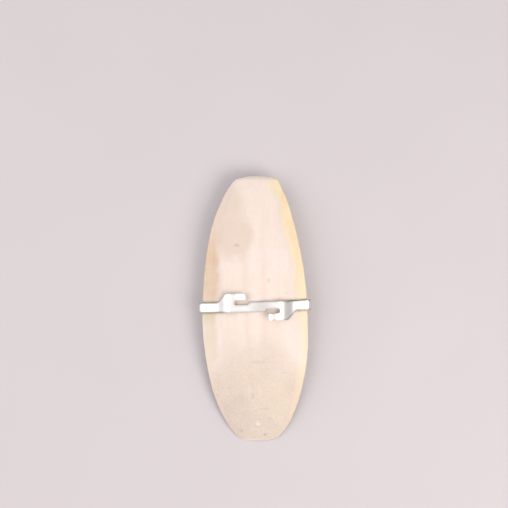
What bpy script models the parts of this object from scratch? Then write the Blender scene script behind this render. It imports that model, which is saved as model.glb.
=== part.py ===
"""A cuttlebone with its sheet-metal cage clip, lying on its belly with the hard back up.

+Y runs to the head end, +X to the right seen from above, +Z up. The origin is on the
table under the middle of the object. Sizes are in millimetres until the meshes are made.
"""

import math

import bmesh
import bpy

MM = 0.001

# Outline of the bone, seen from above
LENGTH = 140.0
WIDTH = 55.6
HALF_LENGTH = LENGTH / 2
WIDEST_Y = -8.0
HEAD_STRETCH = 1.065
TAIL_STRETCH = 1.05
END_ROUND = 2.4

# The thin margin seen from the side: an arch that comes down to the table at the tail
MARGIN_PEAK_Y = 30.0
MARGIN_PEAK = 10.9
MARGIN_TAIL = 0.7
TAIL_RUN = 98.0
HEAD_ARCH = 0.0009
EDGE_THICKNESS = 1.2
EDGE_ROUND = 0.4

# How far the middle line of the bone wanders sideways, as (y, x)
MIDDLE_LINE = ((-70.0, 1.8), (-35.0, 1.0), (0.0, 0.0), (45.0, -0.8), (62.0, -0.1), (70.0, 1.0))

# The hard back
CROWN = 7.5
CROWN_FALL = 1.6
BRIM = 1.2
SHIELD_THICKNESS = 1.2
RIM_STEP = 0.22
RIM_RUN = 3.0
RIB_HEIGHT = 0.3
RIB_HEAD = 6.5
RIB_TAIL = 2.5
SPINE_Y = -60.5
SPINE_HALF_WIDTH = 2.6
SPINE_HALF_LENGTH = 1.8
SPINE_HEIGHT = 1.0

# Width of the horny rim on each side, as (y, width)
LEFT_RIM = ((-70, 2.0), (-45, 4.5), (-10, 7.5), (15, 9.0), (36, 6.8), (50, 4.0), (70, 1.5))
RIGHT_RIM = ((-70, 2.0), (-45, 4.5), (-10, 6.0), (15, 6.0), (45, 6.8), (60, 5.2), (70, 3.0))

# The chalky belly
BELLY_Y = 17.0
BELLY_HOLLOW = 3.4
BELLY_TAIL_Y = -66.0
BELLY_SINK = 0.15
BELLY_SPREAD = 0.93
BELLY_FLANK = 3.0
APEX_Y = -62.0
APEX_FADE = 22.0
TAPER_Y = -5.0
LEDGE = 0.2
LEDGE_BOW = 6.0
SULCUS_DEPTH = 0.6
SULCUS_HALF = 2.6
CONE_HEIGHT = 0.8
CONE_HALF = 1.9

# Facets of the bone
RINGS = 70
BACK_POINTS = 30
CROWDING = 0.5
INNER_COLUMNS = 9
OUTER_COLUMNS = 3
MIDDLE_COLUMNS = 1.25
LEAST_RIDGE = 0.25

# The clip: a strip stamped with two hooks, bent over the back and round both edges
CLIP_Y = 1.7
CLIP_SLANT = 0.03
STRIP_HALF = 2.6
STRIP_THICKNESS = 0.5
CLIP_GAP = 0.4
FLAT_HALF = 12.0
SETTLE_RUN = 8.0
TURN_X = 27.7
TURN_RADIUS = 1.45
TURN_START = 75
TURN_END = -50
CLAW_TIP_X = 19.0
TIP_ROUND = 1.4
HOOKS_X = 1.1
SLOT_LOW = 1.3
HOOK_LOW = 3.5
HOOK_HIGH = 7.3
HOOK_ROOT = 21.8
HOOK_SHOULDER = 17.1
HOOK_TIP = 5.6
SLOT_END = 11.7
SLOT_MOUTH = 4.8
MOUTH_RUN = 1.2
HOOK_LIFT = 2.2
LIFT_START = 11.5
LIFT_RUN = 5.5
CORNER_STEPS = 4
BEND_STEP = 1.0


def clamp(value, low=0.0, high=1.0):
    return max(low, min(high, value))


def smooth(value):
    """0 to 1 with level ends."""
    t = clamp(value)
    return t * t * (3 - 2 * t)


def hump(distance, half):
    """1 at the middle of a ridge or groove, 0 at its foot and beyond."""
    return 1 - smooth(abs(distance) / half)


def half_width(y):
    """Two half ellipses cut short, so that both ends are blunt with rounded corners."""
    along = y - WIDEST_Y
    reach = HALF_LENGTH - WIDEST_Y if along > 0 else HALF_LENGTH + WIDEST_Y
    stretch = HEAD_STRETCH if along > 0 else TAIL_STRETCH
    ellipse = math.sqrt(1 - (along / (reach * stretch)) ** 2)
    to_end = clamp((reach - abs(along)) / END_ROUND)
    return WIDTH / 2 * ellipse * math.sqrt(max(0.0, 1 - (1 - to_end) ** 2))


def along(table, y):
    """Value of a table of (y, value) rows, with level joints between the rows."""
    for (y0, low), (y1, high) in zip(table, table[1:]):
        if y <= y1:
            return low + (high - low) * smooth((y - y0) / (y1 - y0))
    return table[-1][1]


def centre_x(y):
    """The middle line, which is not quite straight."""
    return along(MIDDLE_LINE, y)


def margin_z(y):
    if y > MARGIN_PEAK_Y:
        return MARGIN_PEAK - HEAD_ARCH * (y - MARGIN_PEAK_Y) ** 2
    fall = clamp((MARGIN_PEAK_Y - y) / TAIL_RUN)
    return MARGIN_TAIL + (MARGIN_PEAK - MARGIN_TAIL) * (1 - fall**2)


def rim_width(x, y):
    return along(RIGHT_RIM if x > 0 else LEFT_RIM, y)


def ribs(x, y):
    """A low median rib between two grooves, with a weaker rib outside each."""
    along = (y + HALF_LENGTH) / LENGTH
    groove_x = RIB_TAIL + (RIB_HEAD - RIB_TAIL) * along
    across = abs(x - centre_x(y))
    median = hump(across, groove_x)
    groove = hump(across - groove_x, 0.55 * groove_x)
    lateral = hump(across - 2.1 * groove_x, 0.8 * groove_x)
    fade = smooth((HALF_LENGTH + y) / 30) * smooth((HALF_LENGTH - y) / 10)
    return fade * RIB_HEIGHT * (0.8 * median - 0.5 * groove + 0.5 * lateral)


def dome_z(x, y):
    """The hard upper surface without its relief."""
    half = half_width(y)
    if half < 1e-6:
        return margin_z(y)
    across = clamp(abs(x - centre_x(y)) / half)
    crown = CROWN * (half / (WIDTH / 2)) ** CROWN_FALL
    edge = EDGE_THICKNESS / 2 * clamp(half / 8)
    return margin_z(y) + edge + crown * (1 - across**2) ** BRIM


def back_z(x, y):
    """The upper surface with the raised middle, its ribs and the stump of the spine."""
    half = half_width(y)
    to_edge = half - abs(x - centre_x(y))
    on_shield = smooth((to_edge - rim_width(x, y)) / RIM_RUN + 0.5) * clamp(half / 12)
    from_spine = math.hypot((x - centre_x(y)) / SPINE_HALF_WIDTH, (y - SPINE_Y) / SPINE_HALF_LENGTH)
    return dome_z(x, y) + on_shield * (RIM_STEP + ribs(x, y)) + SPINE_HEIGHT * hump(from_spine, 1)


def belly_line(y):
    """Height of the belly along its middle: lowest at BELLY_Y, a long shallow hollow behind."""
    if y > BELLY_Y:
        ahead = clamp((y - BELLY_Y) / (HALF_LENGTH - BELLY_Y))
        return margin_z(y) * (1 - (1 - ahead**2) ** 0.8) - BELLY_SINK
    behind = clamp((BELLY_Y - y) / (BELLY_Y - BELLY_TAIL_Y))
    return BELLY_HOLLOW * math.sin(math.pi * behind) ** 1.3 - BELLY_SINK


def chamber_half(y):
    """Half width of the chambered body, which narrows to its apex near the tail."""
    taper = clamp((TAPER_Y - y) / (TAPER_Y - APEX_Y))
    return BELLY_SPREAD * half_width(y) * (1 - taper**2.2) ** 0.6


def cone_ridge(x, y):
    """The narrow ridge of the inner cone, along both sides of the chambers and round their apex."""
    step = 0.5
    half = chamber_half(y)
    slope = (chamber_half(y + step) - chamber_half(y - step)) / (2 * step)
    away = (abs(x - centre_x(y)) - half) / math.hypot(1, slope)
    behind_middle = smooth((4 - y) / 24)
    before_apex = smooth((y - APEX_Y + CONE_HALF) / CONE_HALF)
    return CONE_HEIGHT * hump(away, CONE_HALF) * behind_middle * before_apex


def belly_z(x, y, ledge=0.0):
    """The lower surface. It never goes below the table."""
    half = half_width(y)
    if half < 1e-6:
        return margin_z(y)
    shield = dome_z(x, y) - SHIELD_THICKNESS * clamp(half / 8)
    chambers = chamber_half(y)
    across = abs(x - centre_x(y))
    depth = 0.0
    if chambers > 0.1 and across < chambers:
        middle = dome_z(centre_x(y), y) - SHIELD_THICKNESS - belly_line(y)
        fade = smooth((y - APEX_Y + 2) / APEX_FADE)
        striated = smooth((BELLY_Y - 6 - y) / 8) * fade
        profile = 1 - (across / chambers) ** BELLY_FLANK
        sulcus = SULCUS_DEPTH * hump(across, SULCUS_HALF) * striated
        depth = middle * fade * profile - (sulcus + ledge * striated) * clamp(4 * profile)
    return max(0.0, shield - depth - cone_ridge(x, y))


def ring_stations():
    """Places of the rings along the bone, closer together towards both blunt ends."""
    for i in range(1, RINGS):
        even = 2 * i / RINGS - 1
        yield HALF_LENGTH * (0.75 * math.sin(math.pi / 2 * even) + 0.25 * even)


def spread(index, count):
    """Places across a ring from -1 to 1, closer together in the middle and at the edges."""
    even = 2 * index / count - 1
    return even - CROWDING * math.sin(2 * math.pi * even) / (2 * math.pi)


def belly_place(column, y):
    """Share of the half width for one belly column, with one column along the cone ridge."""
    ridge = max(LEAST_RIDGE, chamber_half(y) / half_width(y))
    if column <= INNER_COLUMNS:
        return ridge * (column / INNER_COLUMNS) ** MIDDLE_COLUMNS
    return ridge + (1 - ridge) * (column - INNER_COLUMNS) / OUTER_COLUMNS


def ring(y, ledge):
    """One ring: over the back from left to right, round the edge, and back along the belly."""
    half = half_width(y)
    inset = EDGE_ROUND * clamp(half / 8)
    points = []
    for i in range(BACK_POINTS + 1):
        x = centre_x(y) + spread(i, BACK_POINTS) * (half - inset)
        points.append((x, y, back_z(x, y)))
    points.append((centre_x(y) + half, y, margin_z(y)))
    columns = INNER_COLUMNS + OUTER_COLUMNS
    for i in range(columns, -columns - 1, -1):
        side = 1 if i > 0 else -1
        bow = LEDGE_BOW * (1 - (i / columns) ** 2)
        bowed = y + bow * clamp((HALF_LENGTH - abs(y)) / 30)
        x = centre_x(bowed) + side * belly_place(abs(i), bowed) * (half_width(bowed) - inset)
        points.append((x, bowed, belly_z(x, bowed, ledge)))
    points.append((centre_x(y) - half, y, margin_z(y)))
    return points


def mesh_object(name, points, faces, colour, roughness, metallic):
    """A closed mesh in metres, with outward faces and its own material."""
    mesh = bpy.data.meshes.new(name)
    mesh.from_pydata([(x * MM, y * MM, z * MM) for x, y, z in points], [], faces)
    shape = bmesh.new()
    shape.from_mesh(mesh)
    bmesh.ops.recalc_face_normals(shape, faces=shape.faces)
    bmesh.ops.triangulate(shape, faces=shape.faces)
    shape.to_mesh(mesh)
    shape.free()
    mesh.shade_smooth()
    mesh.set_sharp_from_angle(angle=math.radians(35))
    material = bpy.data.materials.new(name)
    material.use_nodes = True
    shader = material.node_tree.nodes["Principled BSDF"]
    shader.inputs["Base Color"].default_value = (*colour, 1)
    shader.inputs["Roughness"].default_value = roughness
    shader.inputs["Metallic"].default_value = metallic
    mesh.materials.append(material)
    made = bpy.data.objects.new(name, mesh)
    bpy.context.scene.collection.objects.link(made)
    return made


def make_bone():
    """Rings from tail to head, closed at both ends in one point."""
    rings = [ring(y, LEDGE if i % 2 else -LEDGE) for i, y in enumerate(ring_stations())]
    count = len(rings[0])
    points = [(centre_x(-HALF_LENGTH), -HALF_LENGTH, margin_z(-HALF_LENGTH))]
    for one in rings:
        points.extend(one)
    points.append((centre_x(HALF_LENGTH), HALF_LENGTH, margin_z(HALF_LENGTH)))
    last = len(points) - 1
    faces = []
    for k in range(count):
        following = (k + 1) % count
        faces.append((0, 1 + k, 1 + following))
        faces.append((last, last - count + following, last - count + k))
        for r in range(len(rings) - 1):
            low = 1 + r * count
            high = low + count
            faces.append((low + k, high + k, high + following, low + following))
    return mesh_object("cuttlebone", points, faces, (0.86, 0.76, 0.64), 0.75, 0.0)


def strip_height(x):
    """Middle of the strip over the back: flat on the crest, then down on to the slope."""
    nearby = [CLIP_Y - HOOK_HIGH, CLIP_Y, CLIP_Y + HOOK_HIGH]
    clear = CLIP_GAP + STRIP_THICKNESS / 2
    step = 0.5
    slope = (back_z(x + step, CLIP_Y) - back_z(x - step, CLIP_Y)) / (2 * step)
    follow = max(back_z(x, y) for y in nearby) + clear * math.hypot(1, slope)
    flat = max(back_z(0, y) for y in nearby) + clear
    return flat + (follow - flat) * smooth((x - FLAT_HALF) / SETTLE_RUN)


def claw_height(x):
    """Middle of the claw under the flank of the belly."""
    step = 0.5
    slope = (belly_z(x + step, CLIP_Y) - belly_z(x - step, CLIP_Y)) / (2 * step)
    below = (CLIP_GAP + STRIP_THICKNESS / 2) * math.hypot(1, slope)
    return min(belly_z(x, y) for y in (CLIP_Y - STRIP_HALF, CLIP_Y + STRIP_HALF)) - below


def half_path():
    """The right half of the bent strip seen from the tail, from the crest to the claw's tip."""
    step = 0.5
    path = []
    x = 0.0
    while x < TURN_X + TURN_RADIUS * math.cos(math.radians(TURN_START)) - step:
        path.append((x, strip_height(x)))
        x += step
    turn_z = margin_z(CLIP_Y)
    for degrees in range(TURN_START, TURN_END - 1, -25):
        angle = math.radians(degrees)
        path.append((TURN_X + TURN_RADIUS * math.cos(angle), turn_z + TURN_RADIUS * math.sin(angle)))
    x = path[-1][0] - 2 * step
    while x >= CLAW_TIP_X:
        path.append((x, claw_height(x)))
        x -= step
    return eased(path)


def eased(path):
    """The path with its kinks rounded: every point but those on the flat crest and the tip."""
    for _ in range(2):
        moved = list(path)
        for i in range(1, len(path) - 1):
            if path[i][0] > FLAT_HALF - 1 or path[i][1] < MARGIN_PEAK:
                moved[i] = tuple(
                    (path[i - 1][k] + 2 * path[i][k] + path[i + 1][k]) / 4 for k in (0, 1)
                )
        path = moved
    return path


def rounded(corners):
    """A closed outline from (x, y, radius) corners, each turned into a short arc."""
    outline = []
    for i, (x, y, radius) in enumerate(corners):
        ends = []
        for other in (corners[i - 1], corners[(i + 1) % len(corners)]):
            run = math.hypot(other[0] - x, other[1] - y)
            ends.append((x + (other[0] - x) * radius / run, y + (other[1] - y) * radius / run))
        for k in range(CORNER_STEPS + 1):
            t = k / CORNER_STEPS
            weights = ((1 - t) ** 2, 2 * t * (1 - t), t**2)
            outline.append(
                tuple(
                    weights[0] * ends[0][j] + weights[1] * (x, y)[j] + weights[2] * ends[1][j]
                    for j in (0, 1)
                )
            )
    return outline


def blank_outline(end):
    """The flat strip as stamped. The lower hook is the upper one turned by half a turn."""
    hook = [
        (-HOOK_ROOT, STRIP_HALF, 1.2),
        (-HOOK_SHOULDER, HOOK_HIGH, 1.2),
        (-HOOK_TIP, HOOK_HIGH, 1.6),
        (-HOOK_TIP, HOOK_LOW, 1.4),
        (-SLOT_END, HOOK_LOW, 0.8),
        (-SLOT_END, SLOT_LOW, 0.8),
        (-SLOT_MOUTH, SLOT_LOW, 0.6),
        (-SLOT_MOUTH + MOUTH_RUN, STRIP_HALF, 0.6),
    ]
    upper = [(x + HOOKS_X, y, radius) for x, y, radius in hook]
    lower = [(HOOKS_X - x, -y, radius) for x, y, radius in hook]
    tips = [(side * end, y, TIP_ROUND) for side in (1, -1) for y in (side * STRIP_HALF, -side * STRIP_HALF)]
    return rounded(upper + tips[:2] + lower + tips[2:])


def path_lengths(path):
    """Distance from the crest to each point of the half path."""
    lengths = [0.0]
    for (x0, z0), (x1, z1) in zip(path, path[1:]):
        lengths.append(lengths[-1] + math.hypot(x1 - x0, z1 - z0))
    return lengths


def path_point(path, lengths, distance):
    """A point of the half path and the strip's outward direction there."""
    far = clamp(distance, 0.0, lengths[-1])
    i = 1
    while i < len(path) - 1 and lengths[i] < far:
        i += 1
    share = (far - lengths[i - 1]) / (lengths[i] - lengths[i - 1])
    x = path[i - 1][0] + share * (path[i][0] - path[i - 1][0])
    z = path[i - 1][1] + share * (path[i][1] - path[i - 1][1])
    before = path[max(0, i - 2)]
    after = path[min(len(path) - 1, i + 1)]
    run = math.hypot(after[0] - before[0], after[1] - before[1])
    return x, z, -(after[1] - before[1]) / run, (after[0] - before[0]) / run


def hook_lift(distance, across):
    """How far the hooks stand off the strip. One points right, above it, and one left, below it."""
    side = 1 if across > 0 else -1
    inside = side * (HOOKS_X - distance)
    if abs(across) < (STRIP_HALF + HOOK_LOW) / 2 or not 0 < inside < LIFT_START:
        return 0.0
    return HOOK_LIFT * smooth((LIFT_START - inside) / LIFT_RUN)


def bent(path, lengths, distance, across, off):
    """Where a point of the flat strip goes when the strip is bent over the bone, a little askew."""
    x, z, out_x, out_z = path_point(path, lengths, abs(distance))
    side = 1 if distance > 0 else -1
    off += hook_lift(distance, across)
    x = side * (x + out_x * off)
    return x, CLIP_Y + CLIP_SLANT * x + across, z + out_z * off


def cut_blank(end):
    """The blank as a triangulated sheet, cut across wherever it will bend."""
    sheet = bmesh.new()
    face = sheet.faces.new([sheet.verts.new((x, y, 0)) for x, y in blank_outline(end)])
    bmesh.ops.triangulate(sheet, faces=[face])
    cuts = [HOOKS_X + side * (LIFT_START - LIFT_RUN * k / 5) for k in range(6) for side in (-1, 1)]
    place = FLAT_HALF
    while place < end - 0.5:
        cuts.extend([-place, place])
        place += BEND_STEP
    for cut in cuts:
        bmesh.ops.bisect_plane(
            sheet,
            geom=sheet.verts[:] + sheet.edges[:] + sheet.faces[:],
            dist=1e-4,
            plane_co=(cut, 0, 0),
            plane_no=(1, 0, 0),
        )
    bmesh.ops.recalc_face_normals(sheet, faces=sheet.faces)
    return sheet


def make_clip():
    """The stamped strip, given its thickness and bent over the bone."""
    path = half_path()
    lengths = path_lengths(path)
    sheet = cut_blank(lengths[-1])
    sheet.verts.index_update()
    count = len(sheet.verts)
    points = []
    for off in (STRIP_THICKNESS / 2, -STRIP_THICKNESS / 2):
        points.extend(bent(path, lengths, v.co.x, v.co.y, off) for v in sheet.verts)
    faces = []
    for face in sheet.faces:
        corners = [v.index for v in face.verts]
        faces.append(corners)
        faces.append([count + c for c in reversed(corners)])
    for edge in sheet.edges:
        if edge.is_boundary:
            a, b = (v.index for v in edge.verts)
            faces.append([a, b, count + b, count + a])
    sheet.free()
    return mesh_object("cage_clip", points, faces, (0.72, 0.72, 0.71), 0.28, 1.0)


def main():
    for old in list(bpy.data.objects):
        bpy.data.objects.remove(old)
    make_bone()
    make_clip()


main()
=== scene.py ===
"""The cuttlebone and its cage clip on a pale table, seen straight from above.

The bone and the clip are closed meshes that follow the same shapes as the solids, with finer
relief. Their finishes follow named numbers, called shares here, that are kept on the meshes' points.
"""

import math

import bmesh
import bpy
import numpy as np
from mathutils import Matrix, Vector, noise
from mathutils.geometry import delaunay_2d_cdt


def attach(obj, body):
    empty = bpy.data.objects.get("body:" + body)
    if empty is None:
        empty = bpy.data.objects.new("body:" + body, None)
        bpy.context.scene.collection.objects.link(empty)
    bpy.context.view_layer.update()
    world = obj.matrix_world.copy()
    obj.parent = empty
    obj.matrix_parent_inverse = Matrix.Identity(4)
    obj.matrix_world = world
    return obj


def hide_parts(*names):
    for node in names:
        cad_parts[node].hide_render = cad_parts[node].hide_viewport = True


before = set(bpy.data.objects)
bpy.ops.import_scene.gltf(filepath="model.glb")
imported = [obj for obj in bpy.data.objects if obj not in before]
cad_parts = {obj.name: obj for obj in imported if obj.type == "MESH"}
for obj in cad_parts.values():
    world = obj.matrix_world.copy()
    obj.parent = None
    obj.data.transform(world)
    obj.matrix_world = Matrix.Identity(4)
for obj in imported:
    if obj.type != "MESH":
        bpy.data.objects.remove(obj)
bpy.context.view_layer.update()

MM = 0.001

# Too small a distance to matter, in mm
TINY = 1e-6

# Outline of the bone in mm, seen from above; +Y is the head end
LENGTH = 140.0
WIDTH = 55.6
HALF_LENGTH = LENGTH / 2
WIDEST_Y = -8.0
HEAD_STRETCH = 1.065
TAIL_STRETCH = 1.05
END_ROUND = 2.4

# The bone's middle line, which bends a little, as (y, x)
MIDDLE_LINE = ((-70.0, 1.8), (-35.0, 1.0), (0.0, 0.0), (45.0, -0.8), (62.0, -0.1), (70.0, 1.0))

# Waves and nibbles of the worn edge in mm, the row of the noise that each follows, and how high
# that noise is where a nibble starts
EDGE_WEAR = 0.25
WEAR_ROW = 9.0
NIBBLE_DEPTH = 0.5
NIBBLE_START = 0.35
NIBBLE_ROW = 30.0

# Slopes are measured over twice this, in mm
PROBE = 0.5

# The thin margin seen from the side. EDGE_FULL is the half width at which it is full thickness
MARGIN_PEAK_Y = 30.0
MARGIN_PEAK = 10.9
MARGIN_TAIL = 0.7
TAIL_RUN = 98.0
HEAD_ARCH = 0.0009
EDGE_THICKNESS = 1.2
EDGE_ROUND = 0.4
EDGE_FULL = 8.0

# The hard back. SHIELD_FULL is the half width at which its raised middle is full height
CROWN = 7.5
CROWN_FALL = 1.6
BRIM = 1.2
SHIELD_THICKNESS = 1.2
SHIELD_FULL = 12.0
RIM_STEP = 0.22
RIM_RUN = 3.0
SPINE_Y = -60.5
SPINE_HALF_WIDTH = 2.6
SPINE_HALF_LENGTH = 1.8
SPINE_HEIGHT = 1.0

# How wide the horny rim is on each side, as (y, mm)
LEFT_RIM = ((-70, 2.0), (-45, 4.5), (-10, 7.5), (15, 9.0), (36, 6.8), (50, 4.0), (70, 1.5))
RIGHT_RIM = ((-70, 2.0), (-45, 4.5), (-10, 6.0), (15, 6.0), (45, 6.8), (60, 5.2), (70, 3.0))

# How far the back's two grooves are from its middle at both ends, and the ribs and grooves, as
# (place, half width, height in mm), the first two as shares of that distance
GROOVE_HEAD = 6.5
GROOVE_TAIL = 2.5
RIBS = ((0.0, 1.0, 0.24), (1.0, 0.55, -0.15), (2.1, 0.8, 0.15))
RIB_FADE_HEAD = 10.0
RIB_FADE_TAIL = 30.0

# The chalky belly: its lowest place, its hollow and the apex of its chambers
BELLY_Y = 17.0
BELLY_HOLLOW = 3.4
BELLY_TAIL_Y = -66.0
BELLY_SINK = 0.15
BELLY_SPREAD = 0.93
BELLY_FLANK = 3.0
HEAD_BULGE = 0.8
HOLLOW_POWER = 1.3
LEAST_CHAMBER = 0.1
APEX_Y = -62.0
APEX_LEAD = 2.0
APEX_FADE = 22.0
TAPER_Y = -5.0
TAPER_POWER = 2.2
TAPER_BLUNT = 0.6

# The belly's striae, the groove down its middle, and the ridge of its inner cone
STRIAE_GAP = 6.0
STRIAE_RUN = 8.0
LEDGE_BOW = 6.0
LEDGE_FADE = 30.0
LEDGE_HEIGHT = 0.1
LEDGE_SPACING = 2.7
LEDGE_WANDER = 2.0
SULCUS_DEPTH = 0.6
SULCUS_HALF = 2.6
SULCUS_END = 4.0
CONE_HEIGHT = 0.8
CONE_HALF = 1.9
CONE_START = 4.0
CONE_RUN = 24.0

# How strong the amber of the horny rim is on each side, as (y, share)
LEFT_AMBER = ((-70, 0.1), (-30, 0.1), (-8, 0.2), (2, 0.85), (30, 1.0), (44, 0.5), (54, 0.15), (70, 0.05))
RIGHT_AMBER = ((-70, 0.2), (-30, 0.35), (0, 0.6), (16, 0.9), (55, 1.0), (66, 0.6), (70, 0.3))

# Stains of the back, each a colour with its spots as (x, y, half across, half along, strength). The tan
# on the upper left and the grey on the left of the tail are partly painted shade.
STAINS_AND_SHADE = {
    # Tan: partly a stain, partly painted shade on the left slope of the dome's upper end
    "tan_and_shade": (
        "#e0ccba",
        (
            (-16.0, 54.0, 12.5, 17.0, 0.72),
            (-11.5, 38.0, 13.0, 15.0, 0.8),
            (-14.0, -22.0, 5.0, 16.0, 0.25),
            (9.0, -12.0, 6.0, 14.0, 0.2),
        ),
    ),
    # Grey: painted shade on the left of the tail, with some stain over the tail end
    "grey_and_shade": ("#c8b9ac", ((-9.0, -56.0, 11.0, 17.0, 0.26), (0.5, -62.0, 16.0, 10.0, 0.14))),
    "lemon": ("#efe2b6", ((11.0, 65.0, 6.0, 8.0, 0.5), (13.0, -48.0, 7.0, 17.0, 0.12))),
    "umber": ("#dfb47a", ((21.5, 41.0, 4.5, 12.0, 0.15), (15.0, 56.0, 3.5, 10.0, 0.1))),
    "olive": ("#d3cda6", ((-24.5, -5.0, 5.0, 5.5, 0.42), (-23.5, -17.0, 5.0, 16.0, 0.2))),
}
TINT_SHARPNESS = 2.0
TINT_WANDER = 0.2

# How the amber of the rim fades into the cream, and how far the line between them strays
RIM_FADE = 3.6
RIM_LEAD = 0.75
RIM_WANDER = 1.2
RIM_JITTER = 0.5

# Painted shade in the two grooves, strongest round the clip. Its half width is a share of how far the
# grooves are from the middle.
GROOVE_SHADE_HALF = 0.7
GROOVE_SHADE_START = -35.0
GROOVE_SHADE_RUN = 20.0
GROOVE_SHADE_FADE = 60.0
GROOVE_WANDER = 0.5

# A painted shadow of the strip: the bone is darker along both edges of the strip where it presses on the
# flanks
FLANK_SHADE_START = 13.0
FLANK_SHADE_RUN = 8.0
STRIP_SHADOW_HALF = 1.5
STRIP_SHADOW_MEAN = 0.8
STRIP_SHADOW_VARIATION = 0.5

# A painted darker reflection on the flat middle of the strip, as (x, y, half along, half across,
# strength)
DARKER_REFLECTION_SPOTS = ((3.5, 0.0, 9.0, 6.0, 0.8),)
# How wide the painted shade and dark reflection along the strip's edges are, all round and on the flanks
EDGE_SHADE_WIDTH = 1.4
FLANK_EDGE_SHADE_WIDTH = 1.1
FLANK_EDGE_SHADE_RUN = 6.0

# Bowed growth arcs and the grainy tail end of the back, the pale worn ends of the bone, and a painted
# highlight on the stump of the spine
ARC_BOW = 0.03
ARC_SQUEEZE = 0.12
COARSE_START = -6.0
COARSE_RUN = 26.0
COARSE_WANDER = 6.0
WORN_END = 1.6
WORN_WANDER = 0.4
SPINE_HIGHLIGHT = 0.6

# How far in from the margin the relief of the back grows, and from their edge the chalky chambers
SMOOTH_EDGE = 1.5
CHALK_EDGE = 1.5
CHALK_FADE = 6.0

# Noise on the bone, as (lump size in mm, stretch along the bone, seed)
LUMPS = {
    "waves": (11.0, 1.8, 1.0),
    "coarse": (14.0, 1.0, 3.0),
    "arcs": (2.3, 1.0, 7.0),
    "grains": (1.3, 1.0, 11.0),
    "fine grains": (0.8, 1.0, 13.0),
    "wear": (4.0, 1.0, 21.0),
    "nibbles": (1.7, 1.0, 23.0),
    "ledges": (9.0, 1.0, 31.0),
    "rim": (9.0, 1.0, 41.0),
    "rim jitter": (3.0, 1.0, 43.0),
    "marks": (1.3, 1.0, 51.0),
    "strip_shadow": (2.0, 1.0, 61.0),
}

# Relief of the back, as (noise, mm everywhere, mm more on the grainy tail end)
BACK_RELIEF = (
    ("waves", 0.14, 0.0),
    ("arcs", 0.03, 0.12),
    ("grains", 0.03, 0.2),
    ("fine grains", 0.02, 0.13),
)

# Pits and short cracks of the back, as (x, y, half size across, half size along, depth, how brown)
MARKS = (
    (-9.6, 33.8, 2.4, 1.4, 0.25, 0.6),
    (7.2, 15.5, 1.2, 2.2, 0.1, 0.4),
    (16.5, 8.6, 0.8, 0.6, 0.15, 0.5),
    (2.0, -27.3, 7.0, 0.7, 0.1, 0.3),
    (16.0, -33.0, 3.0, 0.5, 0.12, 0.4),
    (-1.0, -45.2, 1.7, 2.8, 0.12, 0.35),
    (-13.5, -41.0, 2.6, 0.5, 0.12, 0.4),
    (5.5, -52.3, 5.2, 0.7, 0.12, 0.4),
    (7.2, -57.4, 3.2, 0.9, 0.12, 0.35),
    (-7.3, -64.3, 1.7, 1.5, 0.25, 0.6),
    (5.2, -66.4, 1.3, 1.0, 0.35, 0.8),
)
MARK_RAGGED = 0.5

# Where a spot's row has its strength, or a mark its depth, and where a mark has its brown
STRENGTH = 4
BROWN = 5

# Columns and rings of the bone's fine mesh, how they crowd where the shape bends most, and how
# near the middle the columns on the belly's ridge may come, as a share of the half width
RINGS = 400
BACK_COLUMNS = 150
EDGE_COLUMNS = 4
INNER_COLUMNS = 30
OUTER_COLUMNS = 8
END_CROWDING = 0.6
CROWDING = 0.3
MIDDLE_COLUMNS = 1.1
LEAST_RIDGE = 0.25

# The clip in mm, and its turn round the margin in degrees
CLIP_Y = 1.7
CLIP_SLANT = 0.03
STRIP_HALF = 2.6
STRIP_THICKNESS = 0.5
CLIP_GAP = 0.4
FLAT_HALF = 12.0
SETTLE_RUN = 8.0
TURN_X = 27.7
TURN_RADIUS = 1.45
TURN_START = 75
TURN_END = -50
TURN_STEP = 25
PATH_STEP = 0.5
EASING_ROUNDS = 2
EASED_FROM = 11.0
PARTS_OF_STEP = 4
CLAW_TIP_X = 19.0
TIP_ROUND = 1.4
HOOKS_X = 1.1
SLOT_LOW = 1.3
HOOK_LOW = 3.5
HOOK_HIGH = 7.3
HOOK_ROOT = 21.8
HOOK_SHOULDER = 17.1
HOOK_TIP = 5.6
SLOT_END = 11.7
SLOT_MOUTH = 4.8
MOUTH_RUN = 1.2
HOOK_LIFT = 2.2
LIFT_START = 11.5
LIFT_RUN = 5.5
CORNER_STEPS = 8

# The clip's fine mesh: its rounded edge, a narrow border that keeps the face level beside it,
# and the size of the faces inside that
EDGE_RADIUS = 0.2
EDGE_TURNS = (0, 30, 60, 90)
FIRM_BORDER = 0.08
SHEET_STEP = 0.4
LEAST_CLEAR = 0.24

# The camera: the photo is 508 pixels wide and shows 0.5243 mm in each
FIELD = 508 * 0.5243
CAMERA_X = -0.5
CAMERA_Y = 29.1
LENS = 100.0
SENSOR = 36.0
SUBJECT_Z = 10.0

# The table, in metres, and the size of its faint clouds in mm
FLOOR_HALF = 1.5
FLOOR_CLOUD = 60.0


def smooth(value):
    """0 to 1 with level ends."""
    t = np.clip(value, 0.0, 1.0)
    return t * t * (3 - 2 * t)


def hump(distance, half):
    """1 at the middle of a ridge or groove, 0 at its foot and beyond."""
    return 1 - smooth(np.abs(distance) / half)


def along(table, y):
    """Value of a table of (y, value) rows, with level joints between the rows."""
    places = np.array([row[0] for row in table], dtype=float)
    values = np.array([row[1] for row in table], dtype=float)
    i = np.clip(np.searchsorted(places, y) - 1, 0, len(places) - 2)
    share = smooth((y - places[i]) / (places[i + 1] - places[i]))
    return values[i] + (values[i + 1] - values[i]) * share


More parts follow.
